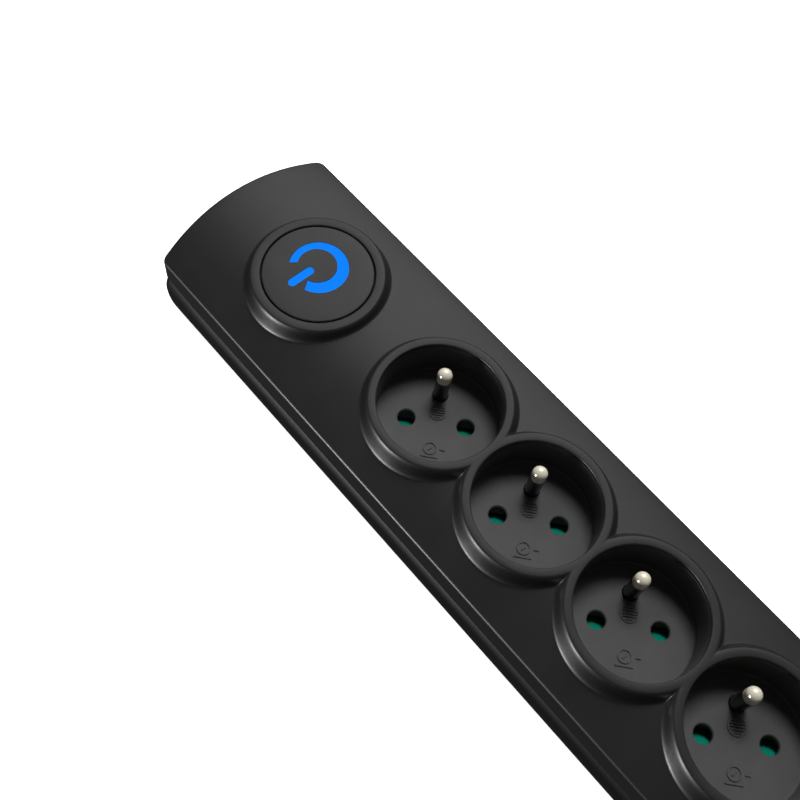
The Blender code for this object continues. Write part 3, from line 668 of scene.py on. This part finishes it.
def make_screws():
    """Pan-head screws with a cross recess, their heads facing down in the case's recesses."""
    rounded = arc((2.2, 5.0), 0.98, -90, -10, 6)
    profile = [(0.6, 4.02), *rounded, (3.2, 5.7), (1.4, 5.7), (1.4, 18.6), (0.8, 19.8), (0.3, 19.8)]
    for i in range(6):
        x, y, _ = middle_mm(f"case_screw_{i + 1}")
        screw = turned(f"screw_{i + 1}", profile, (x, y, 0), 40)
        leans = (0.3, math.pi / 2 + 0.3)
        arms = [prism("arm", bar_outline(3.0, 0.7), 3.5, 5.1, (x, y), lean, taper=0.3) for lean in leans]
        boolean(screw, arms)
        stand_for(screw, f"case_screw_{i + 1}")


# ---------------------------------------------------------------- sockets


def across(u, v):
    """The place in the frame of a point u along a socket's live holes and v towards its earth pin."""
    c, s = math.cos(SOCKET_TURN), math.sin(SOCKET_TURN)
    return (c * u - s * v, s * u + c * v)


def cup_cutters():
    """The live holes with chamfered mouths and the earth pin's hole, cut through the floor."""
    live = [
        (HOLE_RADIUS, CUP_UNDER - 1),
        (HOLE_RADIUS, WELL_FLOOR_Z - 0.35),
        (HOLE_RADIUS + 0.35, WELL_FLOOR_Z),
        (HOLE_RADIUS + 0.35, WELL_FLOOR_Z + 1),
    ]
    earth = [(EARTH_RADIUS + 0.25, CUP_UNDER - 1), (EARTH_RADIUS + 0.25, WELL_FLOOR_Z + 1)]
    cutters = [turned(f"live_{side}", live, (*across(side * HOLE_OFFSET, 0), 0), 40) for side in (-1, 1)]
    return cutters + [turned("earth", earth, (*across(0, EARTH_OFFSET), 0), 40)]


def moulded_marks():
    """The ribbed disc below the earth pin, and a plain mark where a rating is moulded on the real thing."""
    sunk, raised = WELL_FLOOR_Z - 0.5, WELL_FLOOR_Z + 0.35
    half_line = 0.2
    disc_v, disc_radius, rib_gap = 3.65, 2.65, 0.9
    mark_u, mark_v, mark_radius = -0.6, -9.2, 1.95

    def hoop(radius):
        inner, outer = radius - half_line, radius + half_line
        return [(inner, sunk), (outer, sunk), (outer, raised), (inner, raised), (inner, sunk)]

    marks = [turned("disc_ring", hoop(disc_radius), (*across(0, disc_v), 0), 48)]
    for k in range(-2, 3):
        rib = bar_outline(2 * math.sqrt(disc_radius**2 - (rib_gap * k) ** 2), 0.42)
        marks.append(prism(f"rib_{k}", rib, sunk, raised, across(0, disc_v + rib_gap * k), SOCKET_TURN))
    marks.append(turned("mark_loop", hoop(mark_radius), (*across(mark_u, mark_v), 0), 40))
    bars = (
        (1.9, 0.5, mark_u, mark_v, 45),
        (5.4, 0.38, mark_u, mark_v - 2.9, 0),
        (1.7, 0.38, mark_u + 3.9, mark_v, 0),
    )
    for length, width, u, v, lean in bars:
        turn = SOCKET_TURN + math.radians(lean)
        marks.append(prism("mark_bar", bar_outline(length, width), sunk, raised, across(u, v), turn))
    return marks


def make_cups():
    """The matte cup of each socket, all of one mesh."""
    fillet = 0.9
    profile = [
        (1.0, CUP_UNDER),
        (CUP_RADIUS - 0.5, CUP_UNDER),
        (CUP_RADIUS, CUP_UNDER + 0.5),
        (CUP_RADIUS, CUP_TOP),
        (WELL_RADIUS + 0.15, CUP_TOP),
        (WELL_RADIUS, CUP_TOP - 0.15),
        *arc((WELL_RADIUS - fillet, WELL_FLOOR_Z + fillet), fillet, 0, -90, 7),
        (1.0, WELL_FLOOR_Z),
    ]
    cup = turned("cup_master", profile, steps=144)
    boolean(cup, moulded_marks(), "UNION")
    boolean(cup, cup_cutters())
    for i, x in enumerate(SOCKET_XS):
        stand_for(copy_at(cup, f"socket_cup_{i + 1}", x), f"socket_insert_{i + 1}")
    bpy.data.objects.remove(cup, do_unlink=True)


def make_pins():
    """Nickel-plated earth pins with a domed tip, a collar and a riveted tail, all of one mesh."""
    profile = [
        *arc((0, EARTH_TIP_Z - EARTH_RADIUS), EARTH_RADIUS, 88, 0, 14),
        (EARTH_RADIUS, 19.9),
        (3.25, 19.9),
        (3.25, 18.5),
        (EARTH_RADIUS, 18.5),
        (EARTH_RADIUS, 14.7),
        (1.45, 14.7),
        (1.45, 12.6),
        (1.2, 12.4),
    ]
    pin = turned("pin_master", profile, steps=56)
    for i, (x, y, _) in enumerate(PIN_CENTRES):
        stand_for(copy_at(pin, f"pin_{i + 1}", float(x), float(y)), f"earth_pin_{i + 1}")
    bpy.data.objects.remove(pin, do_unlink=True)


# ---------------------------------------------------------------- button

# The symbol about its own centre: where its ring starts and ends in degrees, and the ends of its bar.
ARC_START, ARC_END = -67, 220
ARC_OUTER_CENTRE, ARC_OUTER_RADIUS = (-1.2, 1.0), 9.6
ARC_INNER_CENTRE, ARC_INNER_RADIUS = (-2.0, 1.0), 6.5
BAR_TOP, BAR_FOOT, BAR_HALF_WIDTH = (-2.0, -2.1), (-2.0, -9.2), 1.35


def symbol_arc(grow):
    """The symbol's open ring, which swells to one side."""
    start, end = ARC_START - 3 * grow, ARC_END + 3 * grow
    outer = arc(ARC_OUTER_CENTRE, ARC_OUTER_RADIUS + grow, start, end, 72)
    inner = arc(ARC_INNER_CENTRE, ARC_INNER_RADIUS - grow, end, start, 60)
    return outer + inner


def symbol_bar(grow):
    """The symbol's round-ended bar, in the gap of its ring."""
    half = BAR_HALF_WIDTH + grow
    return arc(BAR_TOP, half, 0, 180, 16) + arc(BAR_FOOT, half, 180, 360, 16)


def symbol_prisms(grow, low, high):
    """The symbol's ring and bar, wider all round by grow, between two heights."""
    shapes = {"arc": symbol_arc(grow), "bar": symbol_bar(grow)}
    return [prism(f"symbol_{name}", shape, low, high, SYMBOL_CENTRE) for name, shape in shapes.items()]


def make_button():
    """The push cap with the symbol's slots, and the blue light guide that fills them."""
    at = (BUTTON_X, 0, 0)
    rim, face = 0.45, RING_Z - 0.02
    profile = [
        (1.0, BUTTON_UNDER + 3.0),
        (PANEL_RADIUS, BUTTON_UNDER + 3.0),
        (PANEL_RADIUS, BUTTON_UNDER),
        (19.5, BUTTON_UNDER),
        (19.5, 37.4),
        (BUTTON_RADIUS, 37.4),
        *arc((BUTTON_RADIUS - rim, face - rim), rim, 0, 90, 6),
        (12.0, face),
        (1.0, face),
    ]
    cap = turned("button_cap", profile, at, 144)
    boolean(cap, symbol_prisms(0.1, 38.0, 42.0))
    stand_for(cap, "power_button")
    guide = turned("symbol_inlay", [(1.0, 36.9), (11.4, 36.9), (11.4, 38.55), (1.0, 38.55)], at, 72)
    boolean(guide, symbol_prisms(0.0, 38.0, RING_Z - 0.12), "UNION")
    stand_for(guide, "symbol_light_guide")


# ---------------------------------------------------------------- camera, light and floor

LIGHT_AIM_Z = 0.03  # in metres; where the lights point, above the origin


def add_camera():
    """The camera looks down at the button end from beside the strip, rolled a little."""
    aim = Vector((-63.26, -9.4, 40.5)) * MM
    distance = 322.81 * MM
    azimuth, elevation, roll = (math.radians(angle) for angle in (40.467, 63.049, 9.478))
    level = math.cos(elevation)
    back = Vector((math.sin(azimuth) * level, -math.cos(azimuth) * level, math.sin(elevation)))
    right = Vector((math.cos(azimuth), math.sin(azimuth), 0))
    turn = Matrix((right, back.cross(right), back)).transposed() @ Matrix.Rotation(roll, 3, "Z")
    camera = bpy.data.objects.new("camera", bpy.data.cameras.new("camera"))
    camera.data.lens = 48.1
    camera.data.sensor_width = 36.0
    camera.data.clip_start = 0.01
    camera.matrix_world = Matrix.Translation(aim + back * distance) @ turn.to_4x4()
    bpy.context.scene.collection.objects.link(camera)
    bpy.context.scene.camera = camera


def add_light(name, direction, distance, size, watts, in_gloss=True, in_diffuse=True):
    """A disc light, in metres, that faces the middle of the strip from one direction."""
    light = bpy.data.lights.new(name, "AREA")
    light.shape = "DISK"
    light.size = size
    light.energy = watts
    obj = bpy.data.objects.new(name, light)
    away = Vector(direction).normalized()
    obj.location = Vector((0, 0, LIGHT_AIM_Z)) + away * distance
    obj.rotation_euler = away.to_track_quat("Z", "Y").to_euler()
    obj.visible_glossy = in_gloss
    obj.visible_diffuse = in_diffuse
    bpy.context.scene.collection.objects.link(obj)


def add_floor():
    """A white ground that glows for the camera alone, so that it casts no light on the strip."""
    material, _, shader = new_material("light_table")
    shader.inputs["Base Color"].default_value = (0.85, 0.85, 0.85, 1)
    shader.inputs["Roughness"].default_value = 0.9
    shader.inputs["Emission Color"].default_value = (1, 1, 1, 1)
    shader.inputs["Emission Strength"].default_value = 1.0
    half = 4000.0
    corners = [(-half, -half, 0), (half, -half, 0), (half, half, 0), (-half, half, 0)]
    floor = mesh_object("floor", corners, [(0, 1, 2, 3)])
    floor.data.materials.append(material)
    floor.visible_diffuse = False
    floor.visible_glossy = False


def add_world():
    world = bpy.data.worlds.new("studio")
    world.use_nodes = True
    background = world.node_tree.nodes["Background"]
    background.inputs["Color"].default_value = (1, 1, 1, 1)
    background.inputs["Strength"].default_value = 0.06
    bpy.context.scene.world = world
    bpy.context.scene.view_settings.view_transform = "Standard"


# ---------------------------------------------------------------- the whole scene

for node, cad in NODES.items():
    dress(cad, SLOT_OF[node])
make_cover()
make_case()
make_gland()
make_feet()
make_screws()
make_cups()
make_pins()
make_button()
add_camera()
add_floor()
add_world()
add_light("key", (-0.27, 0.38, 0.88), distance=1.1, size=0.34, watts=9.0, in_gloss=False)
add_light("sheen", (-0.45, 0.75, 0.9), distance=1.6, size=1.6, watts=11.0)
add_light("rim", (-0.29, -0.95, 0.08), distance=1.2, size=0.2, watts=16.0, in_diffuse=False)
